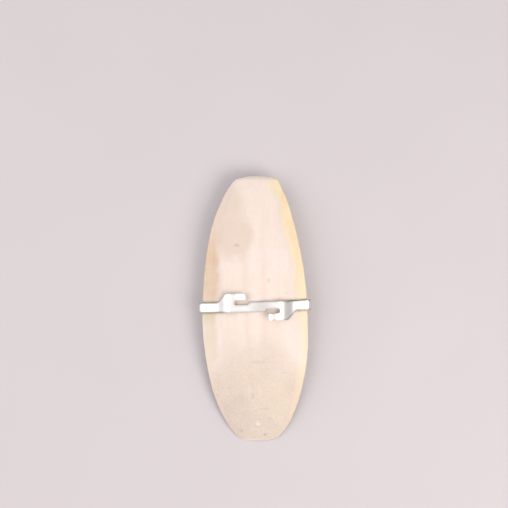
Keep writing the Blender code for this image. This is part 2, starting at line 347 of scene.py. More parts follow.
def half_width(y):
    """Two half ellipses cut short, so that both ends are blunt with rounded corners."""
    from_widest = y - WIDEST_Y
    reach = np.where(from_widest > 0, HALF_LENGTH - WIDEST_Y, HALF_LENGTH + WIDEST_Y)
    stretch = np.where(from_widest > 0, HEAD_STRETCH, TAIL_STRETCH)
    ellipse = np.sqrt(np.maximum(0.0, 1 - (from_widest / (reach * stretch)) ** 2))
    to_end = np.clip((reach - np.abs(from_widest)) / END_ROUND, 0.0, 1.0)
    return WIDTH / 2 * ellipse * np.sqrt(1 - (1 - to_end) ** 2)


def centre_x(y):
    return along(MIDDLE_LINE, y)


def margin_z(y):
    fall = np.clip((MARGIN_PEAK_Y - y) / TAIL_RUN, 0.0, 1.0)
    behind = MARGIN_TAIL + (MARGIN_PEAK - MARGIN_TAIL) * (1 - fall**2)
    ahead = MARGIN_PEAK - HEAD_ARCH * (y - MARGIN_PEAK_Y) ** 2
    return np.where(y > MARGIN_PEAK_Y, ahead, behind)


def edge_fade(y):
    """Thins the edge out towards both ends."""
    return np.clip(half_width(y) / EDGE_FULL, 0.0, 1.0)


def to_edge(x, y):
    return half_width(y) - np.abs(x - centre_x(y))


def rim_width(x, y):
    return np.where(x > 0, along(RIGHT_RIM, y), along(LEFT_RIM, y))


def groove_place(y):
    """How far the two grooves of the back are from its middle line."""
    return GROOVE_TAIL + (GROOVE_HEAD - GROOVE_TAIL) * (y + HALF_LENGTH) / LENGTH


def ribs(x, y):
    """A low median rib between two grooves, with a weaker rib outside each."""
    groove = groove_place(y)
    across = np.abs(x - centre_x(y))
    rise = sum(height * hump(across - place * groove, half * groove) for place, half, height in RIBS)
    fade = smooth((HALF_LENGTH + y) / RIB_FADE_TAIL) * smooth((HALF_LENGTH - y) / RIB_FADE_HEAD)
    return fade * rise


def dome_z(x, y):
    """The hard upper surface without its relief."""
    half = half_width(y)
    across = np.clip(np.abs(x - centre_x(y)) / np.maximum(half, TINY), 0.0, 1.0)
    crown = CROWN * (half / (WIDTH / 2)) ** CROWN_FALL
    return margin_z(y) + EDGE_THICKNESS / 2 * edge_fade(y) + crown * (1 - across**2) ** BRIM


def spine_share(x, y):
    """1 on the stump of the spine, 0 away from it."""
    return hump(np.hypot((x - centre_x(y)) / SPINE_HALF_WIDTH, (y - SPINE_Y) / SPINE_HALF_LENGTH), 1)


def back_z(x, y):
    """The upper surface with the raised middle, its ribs and the stump of the spine."""
    on_shield = smooth((to_edge(x, y) - rim_width(x, y)) / RIM_RUN + 0.5)
    on_shield = on_shield * np.clip(half_width(y) / SHIELD_FULL, 0.0, 1.0)
    return dome_z(x, y) + on_shield * (RIM_STEP + ribs(x, y)) + SPINE_HEIGHT * spine_share(x, y)


def belly_line(y):
    """Height of the belly along its middle: lowest at BELLY_Y, a long shallow hollow behind."""
    ahead = np.clip((y - BELLY_Y) / (HALF_LENGTH - BELLY_Y), 0.0, 1.0)
    behind = np.clip((BELLY_Y - y) / (BELLY_Y - BELLY_TAIL_Y), 0.0, 1.0)
    rise = margin_z(y) * (1 - (1 - ahead**2) ** HEAD_BULGE)
    hollow = BELLY_HOLLOW * np.sin(math.pi * behind) ** HOLLOW_POWER
    return np.where(y > BELLY_Y, rise, hollow) - BELLY_SINK


def chamber_half(y):
    """Half width of the chambered body, which narrows to its apex near the tail."""
    taper = np.clip((TAPER_Y - y) / (TAPER_Y - APEX_Y), 0.0, 1.0)
    return BELLY_SPREAD * half_width(y) * (1 - taper**TAPER_POWER) ** TAPER_BLUNT


def apex_fade(y):
    """0 at the apex of the chambers, 1 well ahead of it."""
    return smooth((y - APEX_Y + APEX_LEAD) / APEX_FADE)


def cone_ridge(x, y):
    """The narrow ridge of the inner cone, along both sides of the chambers and round their apex."""
    slope = (chamber_half(y + PROBE) - chamber_half(y - PROBE)) / (2 * PROBE)
    away = (np.abs(x - centre_x(y)) - chamber_half(y)) / np.hypot(1, slope)
    behind_middle = smooth((CONE_START - y) / CONE_RUN)
    before_apex = smooth((y - APEX_Y + CONE_HALF) / CONE_HALF)
    return CONE_HEIGHT * hump(away, CONE_HALF) * behind_middle * before_apex


def striated_share(y):
    """1 where the belly shows the edges of its chambers, 0 on the smooth last chamber and the tail."""
    return smooth((BELLY_Y - STRIAE_GAP - y) / STRIAE_RUN) * apex_fade(y)


def belly_z(x, y, ledge=0.0):
    """The lower surface. It never goes below the table."""
    shield = dome_z(x, y) - SHIELD_THICKNESS * edge_fade(y)
    chambers = np.maximum(chamber_half(y), LEAST_CHAMBER)
    across = np.abs(x - centre_x(y))
    middle = dome_z(centre_x(y), y) - SHIELD_THICKNESS - belly_line(y)
    profile = np.clip(1 - (across / chambers) ** BELLY_FLANK, 0.0, 1.0)
    sulcus = SULCUS_DEPTH * hump(across, SULCUS_HALF)
    cut = (sulcus + ledge) * striated_share(y) * np.clip(SULCUS_END * profile, 0.0, 1.0)
    depth = middle * apex_fade(y) * profile - cut
    return np.maximum(0.0, shield - depth - cone_ridge(x, y))


def lumps(x, y, name):
    """Smooth noise of about -1 to 1 at each point, from its row in LUMPS."""
    size, stretch, seed = LUMPS[name]
    at = np.stack([x / size, y / (size * stretch), np.full_like(x, seed)], axis=-1)
    flat = [noise.noise(Vector(p)) for p in at.reshape(-1, 3)]
    return np.array(flat).reshape(x.shape)


def arc_place(x, y):
    """Which growth arc of the back a point lies on, as the y where that arc crosses the middle."""
    return y + ARC_BOW * (x - centre_x(y)) ** 2


def coarse_share(x, y):
    """1 on the grainy tail end of the back, 0 on the smooth head end."""
    wander = COARSE_WANDER * lumps(x, y, "coarse")
    return smooth((COARSE_START + wander - arc_place(x, y)) / COARSE_RUN)


def spots(rows, column, x, y, ragged=1.0, sharpness=1.0):
    """How strong the spots are at each point, each as strong as its row says in that column."""
    strongest = np.zeros_like(x)
    for row in rows:
        away = np.hypot((x - row[0]) / row[2], (y - row[1]) / row[3]) * ragged
        strongest = np.maximum(strongest, row[column] * smooth(sharpness * (1 - away)))
    return strongest


def marks(x, y, column):
    return spots(MARKS, column, x, y, 1 + MARK_RAGGED * lumps(x, y, "marks"))


def back_relief(x, y):
    """Waves, growth arcs, grains and pits of the back, in mm above the plain surface."""
    coarse = coarse_share(x, y)
    relief = np.zeros_like(x)
    for name, everywhere, on_tail in BACK_RELIEF:
        at = (ARC_SQUEEZE * x, arc_place(x, y)) if name == "arcs" else (x, y)
        relief += (everywhere + on_tail * coarse) * lumps(*at, name)
    away_from_edge = np.clip(to_edge(x, y) / SMOOTH_EDGE, 0.0, 1.0)
    return relief * away_from_edge - marks(x, y, STRENGTH)


def ring_stations():
    """Places of the rings along the bone, closer together towards both blunt ends."""
    even = 2 * np.arange(1, RINGS) / RINGS - 1
    return HALF_LENGTH * (END_CROWDING * np.sin(math.pi / 2 * even) + (1 - END_CROWDING) * even)


def worn_half(y, side):
    """Half width with the small waves and nibbles of a worn edge, which differ from side to side."""
    wear = 0.5 + 0.5 * lumps(np.full_like(y, WEAR_ROW * side), y, "wear")
    nibble = lumps(np.full_like(y, NIBBLE_ROW * side), y, "nibbles") - NIBBLE_START
    taken = EDGE_WEAR * wear + NIBBLE_DEPTH * np.clip(nibble, 0.0, 1.0)
    return half_width(y) - taken * edge_fade(y)


def worn_sides(y, spread):
    """The worn half width of each ring, on the right where spread is above 0 and else on the left."""
    return np.where(spread > 0, worn_half(y, 1)[:, None], worn_half(y, -1)[:, None])


def back_points(y):
    """The back's points, as rings by columns from left to right."""
    even = 2 * np.arange(BACK_COLUMNS + 1) / BACK_COLUMNS - 1
    spread = even - CROWDING * np.sin(2 * math.pi * even) / (2 * math.pi)
    ys = np.repeat(y[:, None], BACK_COLUMNS + 1, axis=1)
    xs = centre_x(ys) + spread * (worn_sides(y, spread) - EDGE_ROUND * edge_fade(ys))
    return np.stack([xs, ys, back_z(xs, ys) + back_relief(xs, ys)], axis=-1)


def belly_points(y):
    """The belly's points, as rings by columns from right to left, bowed as the chambers' edges are."""
    columns = INNER_COLUMNS + OUTER_COLUMNS
    index = np.arange(columns, -columns - 1, -1)
    side = np.where(index > 0, 1.0, -1.0)
    bow = LEDGE_BOW * (1 - (index / columns) ** 2)
    to_end = HALF_LENGTH - np.abs(y[:, None])
    ys = y[:, None] + bow * np.clip(to_end / LEDGE_FADE, 0.0, 1.0)
    ridge = np.maximum(LEAST_RIDGE, chamber_half(ys) / half_width(ys))
    inner = ridge * (np.abs(index) / INNER_COLUMNS) ** MIDDLE_COLUMNS
    outer = ridge + (1 - ridge) * (np.abs(index) - INNER_COLUMNS) / OUTER_COLUMNS
    place = np.where(np.abs(index) <= INNER_COLUMNS, inner, outer)
    worn_here = worn_sides(y, side) + half_width(ys) - half_width(y[:, None])
    reach = np.minimum(half_width(ys), worn_here) - EDGE_ROUND * edge_fade(ys)
    xs = centre_x(ys) + side * place * reach
    stria = np.repeat(y[:, None], len(index), axis=1)
    turn = 2 * math.pi * stria / LEDGE_SPACING + LEDGE_WANDER * lumps(xs, stria, "ledges")
    return np.stack([xs, ys, belly_z(xs, ys, LEDGE_HEIGHT * np.sin(turn))], axis=-1)


def edge_points(y, upper, lower, side):
    """The rounded edge on one side, between the outermost points of the back and of the belly."""
    angles = math.pi * np.arange(1, EDGE_COLUMNS + 1) / (EDGE_COLUMNS + 1) - math.pi / 2
    level = (1 - side * np.sin(angles)) / 2
    edge = lower[:, None] + (upper - lower)[:, None] * level[:, None]
    edge[..., 0] += side * EDGE_ROUND * edge_fade(y)[:, None] * np.cos(angles)
    return edge


def bone_skin():
    """All points of the skin, as rings by columns: back, right edge, belly and left edge."""
    y = ring_stations()
    back = back_points(y)
    belly = belly_points(y)
    right = edge_points(y, back[:, -1], belly[:, 0], 1)
    left = edge_points(y, back[:, 0], belly[:, -1], -1)
    return np.concatenate([back, right, belly, left], axis=1)


def close_skin(skin):
    """Points and faces of a closed mesh: the rings, with one point to close each end."""
    rings, count = skin.shape[:2]
    tail = (centre_x(np.array(-HALF_LENGTH)), -HALF_LENGTH, margin_z(np.array(-HALF_LENGTH)))
    head = (centre_x(np.array(HALF_LENGTH)), HALF_LENGTH, margin_z(np.array(HALF_LENGTH)))
    points = np.concatenate([[tail], skin.reshape(-1, 3), [head]])
    last = len(points) - 1
    faces = []
    for k in range(count):
        following = (k + 1) % count
        faces.append((0, 1 + following, 1 + k))
        faces.append((last, last - count + k, last - count + following))
    start = 1 + np.arange(rings - 1)[:, None] * count
    here = np.arange(count)
    following = (here + 1) % count
    quads = np.stack(
        [start + here, start + following, start + count + following, start + count + here], axis=-1
    )
    faces.extend(map(tuple, quads.reshape(-1, 4).tolist()))
    return points, faces


def link_mesh(name, points, faces, shares, material):
    """A smooth mesh object in metres with outward faces. Shares are numbers kept on its points."""
    mesh = bpy.data.meshes.new(name)
    mesh.from_pydata((np.asarray(points) * MM).tolist(), [], faces)
    shape = bmesh.new()
    shape.from_mesh(mesh)
    bmesh.ops.recalc_face_normals(shape, faces=shape.faces)
    shape.to_mesh(mesh)
    shape.free()
    mesh.shade_smooth()
    mesh.materials.append(material)
    for share, values in shares.items():
        attribute = mesh.attributes.new(share, "FLOAT", "POINT")
        attribute.data.foreach_set("value", np.asarray(values, dtype=np.float32))
    made = bpy.data.objects.new(name, mesh)
    bpy.context.scene.collection.objects.link(made)
    return made


def bone_shares(points, columns):
    """What the bone's finish follows, by name: one number for each point of the skin."""
    x, y = points[:, 0], points[:, 1]
    column = (np.arange(len(points)) - 1) % columns
    belly_start = BACK_COLUMNS + 1 + EDGE_COLUMNS
    belly_end = belly_start + 2 * (INNER_COLUMNS + OUTER_COLUMNS)
    below = (column >= belly_start) & (column <= belly_end)
    wander = RIM_WANDER * lumps(x, y, "rim") + RIM_JITTER * lumps(x, y, "rim jitter")
    past_rim = to_edge(x, y) + wander - rim_width(x, y)
    rim = 1 - smooth(past_rim / RIM_FADE + RIM_LEAD)
    # Painted shade in the two grooves of the back
    from_groove = np.abs(x - centre_x(y) + GROOVE_WANDER * wander) - groove_place(y)
    groove = hump(from_groove, GROOVE_SHADE_HALF * groove_place(y))
    groove = groove * smooth((y - GROOVE_SHADE_START) / GROOVE_SHADE_RUN)
    to_end = HALF_LENGTH - np.abs(y) + WORN_WANDER * wander
    # Painted shadow of the strip on the bone, along both its edges on the flanks
    from_strip = np.abs(y - CLIP_Y - CLIP_SLANT * x) - STRIP_HALF
    strip_shadow = hump(from_strip, STRIP_SHADOW_HALF) * (STRIP_SHADOW_MEAN + STRIP_SHADOW_VARIATION * lumps(x, y, "strip_shadow"))
    on_back = {
        "left_amber": rim * along(LEFT_AMBER, y) * (x < 0),
        "right_amber": rim * along(RIGHT_AMBER, y) * (x > 0),
        "mark": marks(x, y, BROWN),
        "strip_shadow": strip_shadow * smooth((np.abs(x) - FLANK_SHADE_START) / FLANK_SHADE_RUN),
        "groove": groove * smooth((HALF_LENGTH - y) / GROOVE_SHADE_FADE),
        # Pale worn ends, and a painted highlight on the stump of the spine
        "worn_ends_and_spine_highlight": np.maximum(1 - smooth(to_end / WORN_END), SPINE_HIGHLIGHT * spine_share(x, y)),
        "coarse": coarse_share(x, y),
    }
    # The stains, with painted shade in the tan and the grey
    for name, (_, rows) in STAINS_AND_SHADE.items():
        ragged = 1 + TINT_WANDER * wander
        on_back[name] = spots(rows, STRENGTH, x, y, ragged, TINT_SHARPNESS)
    shares = {name: np.clip(values, 0.0, 1.0) * ~below for name, values in on_back.items()}
    chalk = np.clip((chamber_half(y) - np.abs(x - centre_x(y))) / CHALK_EDGE, 0.0, 1.0)
    ring_y = np.concatenate([[-HALF_LENGTH], np.repeat(ring_stations(), columns), [HALF_LENGTH]])
    shares["rim"] = rim
    shares["belly"] = below.astype(float)
    shares["chalk"] = chalk * below * smooth((y - APEX_Y) / CHALK_FADE)
    shares["growth"] = np.where(column <= BACK_COLUMNS, arc_place(x, y), ring_y)
    shares["striae"] = striated_share(y) * below
    return shares


def make_bone():
    skin = bone_skin()
    points, faces = close_skin(skin)
    shares = bone_shares(points, skin.shape[1])
    bone = link_mesh("cuttlebone_skin", points, faces, shares, bone_material(shares))
    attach(bone, "root")
    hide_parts("cuttlebone")


def strip_height(x):
    """Middle of the strip over the back: flat on the crest, then down on to the slope."""
    nearby = np.array([CLIP_Y - HOOK_HIGH, CLIP_Y, CLIP_Y + HOOK_HIGH])
    clear = CLIP_GAP + STRIP_THICKNESS / 2
    here = np.array(CLIP_Y)
    slope = (back_z(x + PROBE, here) - back_z(x - PROBE, here)) / (2 * PROBE)
    follow = back_z(np.full(3, x), nearby).max() + clear * math.hypot(1, slope)
    flat = back_z(np.zeros(3), nearby).max() + clear
    return float(flat + (follow - flat) * smooth((x - FLAT_HALF) / SETTLE_RUN))


def claw_height(x):
    """Middle of the claw under the flank of the belly."""
    here = np.array(CLIP_Y)
    slope = (belly_z(x + PROBE, here) - belly_z(x - PROBE, here)) / (2 * PROBE)
    below = (CLIP_GAP + STRIP_THICKNESS / 2) * math.hypot(1, slope)
    nearby = np.array([CLIP_Y - STRIP_HALF, CLIP_Y + STRIP_HALF])
    return float(belly_z(np.full(2, x), nearby).min() - below)


def half_path():
    """The right half of the bent strip seen from the tail, from the crest to the claw's tip."""
    path = []
    x = 0.0
    while x < TURN_X + TURN_RADIUS * math.cos(math.radians(TURN_START)) - PATH_STEP:
        path.append((x, strip_height(x)))
        x += PATH_STEP
    turn_z = float(margin_z(np.array(CLIP_Y)))
    for degrees in range(TURN_START, TURN_END - 1, -TURN_STEP):
        angle = math.radians(degrees)
        path.append((TURN_X + TURN_RADIUS * math.cos(angle), turn_z + TURN_RADIUS * math.sin(angle)))
    x = path[-1][0] - 2 * PATH_STEP
    while x >= CLAW_TIP_X:
        path.append((x, claw_height(x)))
        x -= PATH_STEP
    return finer(eased(path))


def eased(path):
    """The path with its kinks rounded: every point but those on the flat crest and the tip."""
    for _ in range(EASING_ROUNDS):
        moved = list(path)
        for i in range(1, len(path) - 1):
            if path[i][0] > EASED_FROM or path[i][1] < MARGIN_PEAK:
                moved[i] = tuple(
                    (path[i - 1][k] + 2 * path[i][k] + path[i + 1][k]) / 4 for k in (0, 1)
                )
        path = moved
    return path


def finer(path):
    """The path with each step cut into parts, on a smooth curve through the old points."""
    curve = []
    for i in range(len(path) - 1):
        before = path[max(0, i - 1)]
        after = path[min(len(path) - 1, i + 2)]
        a, b = path[i], path[i + 1]
        for k in range(PARTS_OF_STEP):
            t = k / PARTS_OF_STEP
            curve.append(
                tuple(
                    0.5
                    * (
                        2 * a[j]
                        + (b[j] - before[j]) * t
                        + (2 * before[j] - 5 * a[j] + 4 * b[j] - after[j]) * t**2
                        + (3 * a[j] - before[j] - 3 * b[j] + after[j]) * t**3
                    )
                    for j in (0, 1)
                )
            )
    curve.append(path[-1])
    return curve


def rounded(corners):
    """A closed outline from (x, y, radius) corners, each turned into a short arc."""
    outline = []
    for i, (x, y, radius) in enumerate(corners):
        ends = []
        for other in (corners[i - 1], corners[(i + 1) % len(corners)]):
            run = math.hypot(other[0] - x, other[1] - y)
            ends.append((x + (other[0] - x) * radius / run, y + (other[1] - y) * radius / run))
        for k in range(CORNER_STEPS + 1):
            t = k / CORNER_STEPS
            weights = ((1 - t) ** 2, 2 * t * (1 - t), t**2)
            outline.append(
                tuple(
                    weights[0] * ends[0][j] + weights[1] * (x, y)[j] + weights[2] * ends[1][j]
                    for j in (0, 1)
                )
            )
    return outline


def blank_outline(end):
    """The flat strip as stamped. The lower hook is the upper one turned by half a turn."""
    hook = [
        (-HOOK_ROOT, STRIP_HALF, 1.2),
        (-HOOK_SHOULDER, HOOK_HIGH, 1.2),
        (-HOOK_TIP, HOOK_HIGH, 1.6),
        (-HOOK_TIP, HOOK_LOW, 1.4),
        (-SLOT_END, HOOK_LOW, 0.8),
        (-SLOT_END, SLOT_LOW, 0.8),
        (-SLOT_MOUTH, SLOT_LOW, 0.6),
        (-SLOT_MOUTH + MOUTH_RUN, STRIP_HALF, 0.6),
    ]
    upper = [(x + HOOKS_X, y, radius) for x, y, radius in hook]
    lower = [(HOOKS_X - x, -y, radius) for x, y, radius in hook]
    right_tip = [(end, STRIP_HALF, TIP_ROUND), (end, -STRIP_HALF, TIP_ROUND)]
    left_tip = [(-x, -y, radius) for x, y, radius in right_tip]
    return rounded(upper + right_tip + lower + left_tip)


def path_lengths(path):
    """Distance from the crest to each point of the half path."""
    lengths = [0.0]
    for (x0, z0), (x1, z1) in zip(path, path[1:]):
        lengths.append(lengths[-1] + math.hypot(x1 - x0, z1 - z0))
    return lengths


def path_point(path, lengths, distance):
    """A point of the half path and the strip's outward direction there."""
    far = min(max(distance, 0.0), lengths[-1])
    i = min(max(int(np.searchsorted(lengths, far)), 1), len(path) - 1)
    share = (far - lengths[i - 1]) / (lengths[i] - lengths[i - 1])
    x = path[i - 1][0] + share * (path[i][0] - path[i - 1][0])
    z = path[i - 1][1] + share * (path[i][1] - path[i - 1][1])
    before = path[max(0, i - 2)]
    after = path[min(len(path) - 1, i + 1)]
    run = math.hypot(after[0] - before[0], after[1] - before[1])
    return x, z, -(after[1] - before[1]) / run, (after[0] - before[0]) / run


def hook_lift(distance, across):
    """How far the hooks stand off the strip. One points right, above it, and one left, below it."""
    side = 1 if across > 0 else -1
    from_tip = side * (HOOKS_X - distance)
    if abs(across) < (STRIP_HALF + HOOK_LOW) / 2 or not 0 < from_tip < LIFT_START:
        return 0.0
    return HOOK_LIFT * float(smooth((LIFT_START - from_tip) / LIFT_RUN))


def bent(path, lengths, distance, across, off):
    """Where a point of the flat strip goes when the strip is bent over the bone, a little askew."""
    x, z, out_x, out_z = path_point(path, lengths, abs(distance))
    side = 1 if distance > 0 else -1
    off += hook_lift(distance, across)
    x = side * (x + out_x * off)
    return x, CLIP_Y + CLIP_SLANT * x + across, z + out_z * off


def densified(outline):
    """The closed outline with no step longer than SHEET_STEP."""
    dense = []
    for (x0, y0), (x1, y1) in zip(outline, outline[1:] + outline[:1]):
        steps = max(1, math.ceil(math.hypot(x1 - x0, y1 - y0) / SHEET_STEP))
        dense.extend((x0 + (x1 - x0) * k / steps, y0 + (y1 - y0) * k / steps) for k in range(steps))
    return np.array(dense)


def moved_in(outline, distance):
    """The clockwise outline moved inwards, with its corners kept true."""
    ahead = np.roll(outline, -1, axis=0) - outline
    inward = np.stack([ahead[:, 1], -ahead[:, 0]], axis=-1) / np.linalg.norm(ahead, axis=1)[:, None]
    both = inward + np.roll(inward, 1, axis=0)
    return outline + 2 * distance * both / (both**2).sum(axis=1)[:, None]


def inside(outline, places, clear):
    """Which places lie inside the outline and at least clear away from it."""
    a, b = outline, np.roll(outline, -1, axis=0)
    kept = []
    for place in places:
        crosses = (a[:, 1] > place[1]) != (b[:, 1] > place[1])
        rise = np.where(crosses, b[:, 1] - a[:, 1], 1.0)
        right = a[:, 0] + (place[1] - a[:, 1]) * (b[:, 0] - a[:, 0]) / rise > place[0]
        near = ((a - place) ** 2).sum(axis=1).min() < clear**2
        if (crosses & right).sum() % 2 and not near:
            kept.append(place)
    return np.array(kept)


def cut_blank(outline, end):
    """Points and faces of one face of the flat blank: the rings of its rounded edge and the fill.

    Each point has its place on the blank and how far it lies below the face.
    """
    rings = []
    for degrees in EDGE_TURNS:
        turn = math.radians(degrees)
        drop = EDGE_RADIUS * (1 - math.sin(turn))
        rings.append((moved_in(outline, EDGE_RADIUS * (1 - math.cos(turn))), drop))
    rings.append((moved_in(outline, EDGE_RADIUS + FIRM_BORDER), 0.0))
    columns = np.arange(-end, end, SHEET_STEP)
    rows = np.arange(-HOOK_HIGH, HOOK_HIGH, SHEET_STEP)
    grid = [(x, y + (i % 2) * SHEET_STEP / 2) for i, x in enumerate(columns) for y in rows]
    border = rings[-1][0]
    middle = np.concatenate([border, inside(border, np.array(grid), LEAST_CLEAR)])
    count = len(outline)
    filled = delaunay_2d_cdt([Vector(p) for p in middle], [], [list(range(count))], 1, TINY)
    flat = [(x, y, drop) for ring, drop in rings[:-1] for x, y in ring]
    flat += [(place.x, place.y, 0.0) for place in filled[0]]
    faces = []
    for ring in range(len(rings) - 1):
        for k in range(count):
            a, b = ring * count + k, ring * count + (k + 1) % count
            faces.append((a, b, b + count, a + count))
    start = (len(rings) - 1) * count
    faces += [tuple(start + corner for corner in face) for face in filled[2]]
    return flat, faces


def make_clip():
    """The stamped strip, given its thickness and rounded edges and bent over the bone."""
    path = half_path()
    lengths = path_lengths(path)
    outline = densified(blank_outline(lengths[-1]))
    flat, face_corners = cut_blank(outline, lengths[-1])
    rim = len(outline)
    count = len(flat)
    points = []
    for side in (1, -1):
        for x, y, drop in flat:
            points.append(bent(path, lengths, x, y, side * (STRIP_THICKNESS / 2 - drop)))
    faces = list(face_corners)
    faces += [tuple(count + corner for corner in reversed(face)) for face in face_corners]
    faces += [(k, count + k, count + (k + 1) % rim, (k + 1) % rim) for k in range(rim)]
    along_strip = np.array(flat)[:, 0]
    across_strip = np.array(flat)[:, 1]
    to_rim = np.array([((outline - place[:2]) ** 2).sum(axis=1).min() ** 0.5 for place in flat])
    on_flank = smooth((np.abs(along_strip) - FLANK_SHADE_START) / FLANK_EDGE_SHADE_RUN)
    face_shares = {
        "strip_x": along_strip,
        "strip_y": across_strip,
        # Painted shade and dark reflection along the strip's edges, darker on the flanks
        "edge": hump(to_rim, EDGE_SHADE_WIDTH),
        "flank_edge_shade": hump(to_rim, FLANK_EDGE_SHADE_WIDTH) * on_flank,
        # Painted darker reflection on the flat middle of the strip
        "darker_reflection": spots(DARKER_REFLECTION_SPOTS, STRENGTH, along_strip, across_strip),
    }
    shares = {name: np.tile(values, 2) for name, values in face_shares.items()}
    clip = link_mesh("cage_clip_strip", points, faces, shares, clip_material(shares))
    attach(clip, "root")
    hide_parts("cage_clip")


def linear(code):
    """A colour written as sRGB hex, as the linear colour that shaders take."""
    parts = [int(code[i : i + 2], 16) / 255 for i in (1, 3, 5)]
    return (*[p / 12.92 if p <= 0.04045 else ((p + 0.055) / 1.055) ** 2.4 for p in parts], 1.0)


def node(tree, kind, inputs, output=0, **settings):
    """Adds a shader node with its settings and links, and gives one of its outputs."""
    made = tree.nodes.new("ShaderNode" + kind)
    for name, value in settings.items():
        setattr(made, name, value)
    for key, value in inputs.items():
        if isinstance(value, bpy.types.NodeSocket):
            tree.links.new(value, made.inputs[key])
        else:
            made.inputs[key].default_value = value
    return made.outputs[output]


def new_material(name):
    material = bpy.data.materials.new(name)
    material.use_nodes = True
    return material, material.node_tree, material.node_tree.nodes["Principled BSDF"]


# Cuttlebone, dried aragonite that grew in thin layers: a hard cream back with a horny amber rim,
# satin to the eye, over chambers of dead matt chalk. Noise in it, as (lump size in mm, squeeze
# along the bone, detail, roughness). The pores and the grit of a real one are finer, and are drawn
# as coarse as they need to show.
BONE_NOISE = {
    "clouds": (18.0, 1.0, 3.0, 0.5),
    "patches": (7.0, 1.0, 3.0, 0.55),
    "mottle": (2.4, 1.0, 4.0, 0.6),
    "streaks": (1.6, 0.07, 3.0, 0.5),
    "pores": (0.8, 1.0, 2.0, 0.6),
    "grit": (0.45, 1.0, 3.0, 0.6),
}

# Growth arcs of the back and edges of the chambers' plates, in mm apart, with the detail of the
# arcs and how far the plates wander, in radians
ARC_SPACING = 0.7
ARC_DETAIL = 3.0
PLATE_SPACING = 0.9
PLATE_WANDER = 5.0

# Where in its noise the patches thin the tan of the tail end, and where the pores show, as
# (from, to), with how much tan is left and how dark the pores are
THIN_PATCHES = (0.25, 0.7)
THINNEST_TAN = 0.7
PORES_SHOW = (0.48, 0.75)
PORE_DARKNESS = 0.06
PORE_DARKNESS_AT_TAIL = 0.28

# Patterns in the amber of both sides, as (pattern, from, to)
AMBER_PATTERNS = (("patches", 0.3, 0.7), ("streaks", 0.5, 0.72))

# Colours from the bottom up, as (what the layer follows, from, to, most, colour)
BONE_BASE = "#efdfd1"
BONE_LAYERS = (
    ("clouds", 0.35, 0.65, 1.0, "#f2e3db"),
    ("tail", 0.0, 1.0, 1.0, "#e1d0c1"),
    ("streaks", 0.3, 0.75, 0.15, "#e2cdb9"),
    ("mottle", 0.45, 0.8, 0.18, "#e3c8ab"),
    # Painted shade in the two grooves of the back
    ("groove", 0.0, 1.0, 0.45, "#e4d0c6"),
    ("speckle", 0.0, 1.0, 1.0, "#cdb59d"),
    ("left_amber", 0.0, 1.0, 1.0, "#e1cab3"),
    ("left_patches", 0.0, 1.0, 1.0, "#dbbda1"),
    ("left_streaks", 0.0, 1.0, 0.35, "#d3ae8a"),
    ("right_amber", 0.0, 1.0, 1.0, "#f7e4c4"),
    ("right_patches", 0.0, 1.0, 1.0, "#f5dbb2"),
    ("right_streaks", 0.0, 1.0, 0.5, "#e9c594"),
    # The stains, with painted shade in the tan and the grey
    *((name, 0.0, 1.0, 1.0, colour) for name, (colour, _) in STAINS_AND_SHADE.items()),
    # Painted shadow of the strip on the flanks
    ("strip_shadow", 0.0, 1.0, 0.7, "#9b9486"),
    ("mark", 0.0, 1.0, 0.75, "#b39f8d"),
    # Pale worn ends, and a painted highlight on the stump of the spine
    ("worn_ends_and_spine_highlight", 0.0, 1.0, 1.0, "#f8f2e8"),
    ("belly", 0.0, 1.0, 1.0, "#efe6da"),
    ("chalk", 0.0, 1.0, 1.0, "#f3efe7"),
)

# Gloss: the horny rim is smoothest, the chalk of the chambers has none. Rows are
# (what it follows, from, to, added roughness)
BONE_ROUGHNESS = 0.5
BONE_DULLING = (
    ("mottle", 0.2, 0.8, 0.14),
    ("coarse", 0.0, 1.0, 0.14),
    ("rim", 0.0, 1.0, -0.12),
    ("chalk", 0.0, 1.0, 0.3),
)

# Relief too fine for the mesh, as (what it follows, mm everywhere, mm more on the grainy tail end)
BONE_RELIEF = (
    ("arcs", 0.02, 0.03),
    ("grit", 0.035, 0.2),
    ("streaks", 0.03, 0.0),
    ("plates", 0.03, 0.0),
)

# Light goes a little way into the bone, furthest in red: how much of it, and how deep in mm
GLOW = 0.12
GLOW_DEPTH = (1.5, 0.9, 0.6)


def layered_colour(tree, value, base, layers):
    """The base colour under its layers, each as strong as what it follows."""
    colour = linear(base)
    for follows, start, end, most, tone in layers:
        share = node(tree, "MapRange", {"Value": value[follows], 1: start, 2: end, 4: most})
        colour = node(tree, "Mix", {0: share, 6: colour, 7: linear(tone)}, 2, data_type="RGBA")
    return colour


def dulled(tree, value, roughness, rows):
    """The roughness with what each row adds to it."""
    for follows, start, end, added in rows:
        share = node(tree, "MapRange", {"Value": value[follows], 1: start, 2: end})
        inputs = {0: share, 1: added, 2: roughness}
        roughness = node(tree, "Math", inputs, operation="MULTIPLY_ADD")
    return roughness


